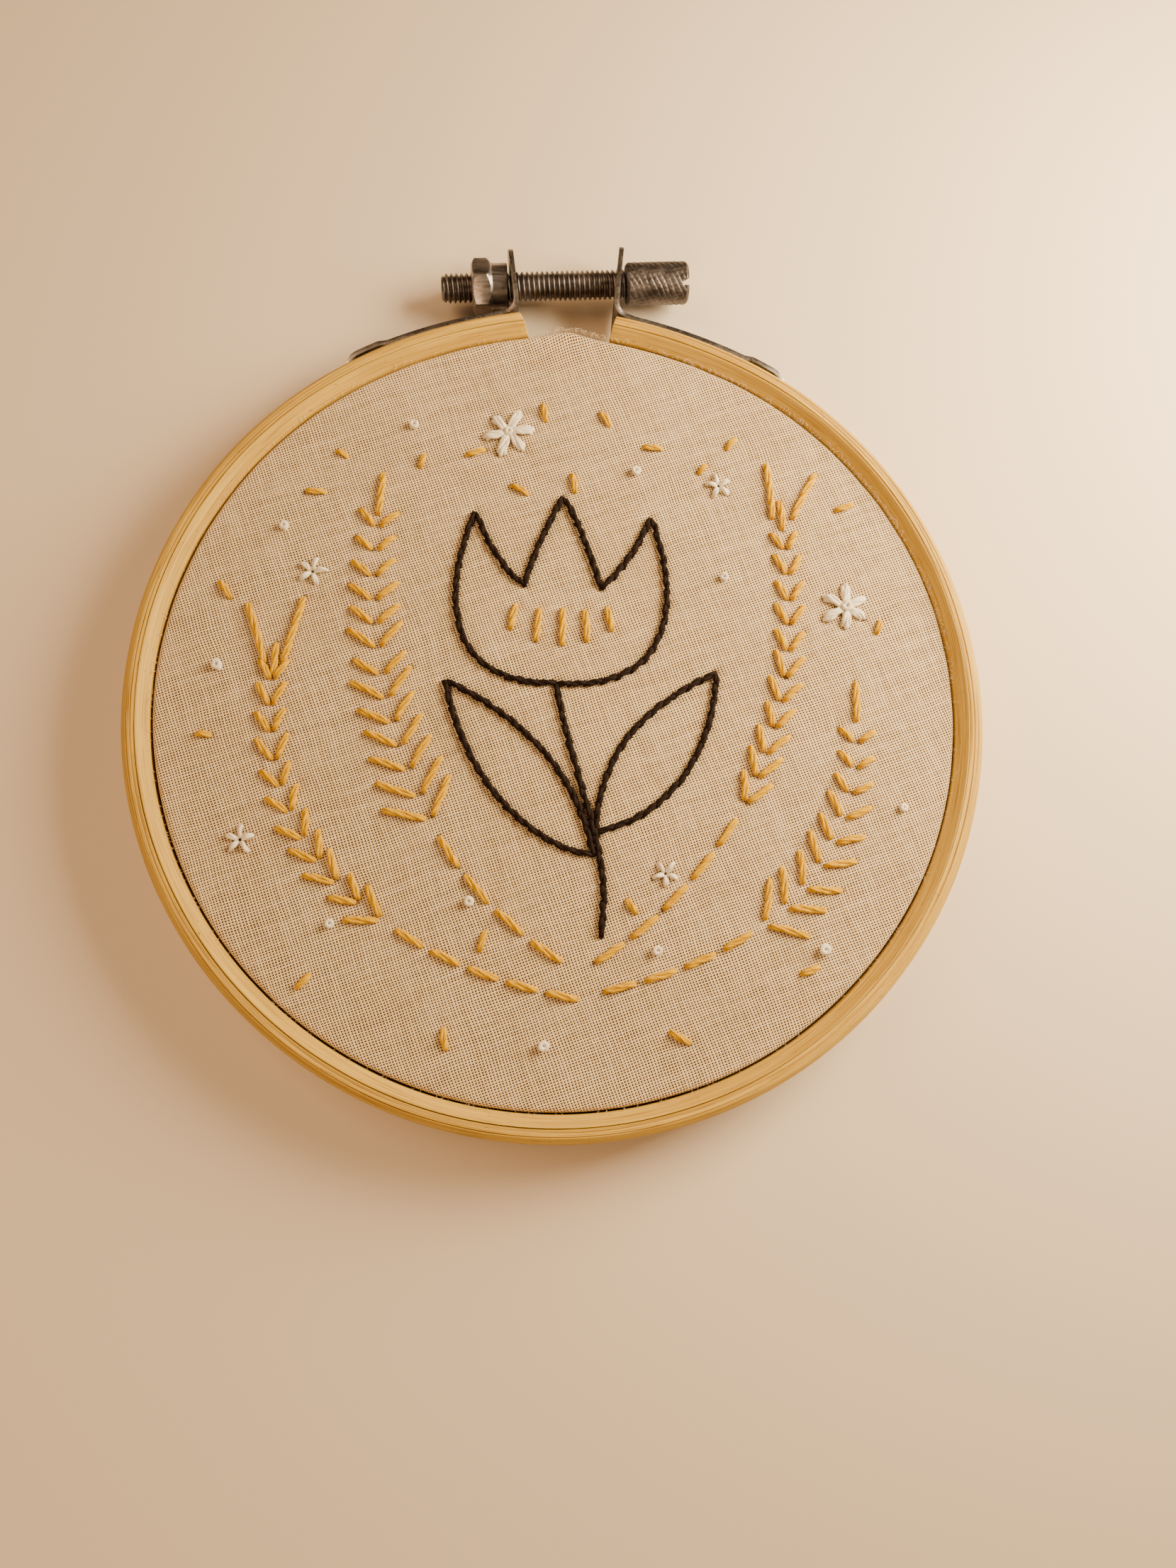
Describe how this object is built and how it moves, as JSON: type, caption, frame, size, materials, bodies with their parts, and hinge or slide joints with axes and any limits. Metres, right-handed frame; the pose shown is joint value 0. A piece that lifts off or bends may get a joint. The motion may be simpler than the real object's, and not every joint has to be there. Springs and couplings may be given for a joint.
{
  "type": "embroidery hoop with stitched cloth",
  "caption": "Small split bamboo embroidery hoop with a thumb screw, holding taut cream cloth stitched in gold, black and white.",
  "frame": {"origin": "middle of the footprint, on the surface that the hoop's back lies on", "axes": "+Z out of the stitched face, +Y from the ring's centre towards the screw, the screw along X with its knob at +X"},
  "size_m": [0.1086, 0.1199, 0.0086],
  "materials": {
    "bamboo_outer": "satin",
    "bamboo_inner": "matte",
    "cloth": "matte",
    "bracket_steel": "satin",
    "screw_steel": "satin",
    "nut_steel": "satin"
  },
  "bodies": {
    "hoop": {"outer_ring": "bamboo_outer", "inner_ring": "bamboo_inner", "cloth": "cloth", "bracket_left": "bracket_steel", "bracket_right": "bracket_steel", "nut": "nut_steel"},
    "thumb_screw": {"thumb_screw": "screw_steel"}
  },
  "joints": [
    {"name": "screw_turn", "type": "hinge", "parent": "hoop", "child": "thumb_screw", "pos_m": [0.00469, 0.05525, 0.0043], "axis": [1, 0, 0], "continuous": true}
  ]
}
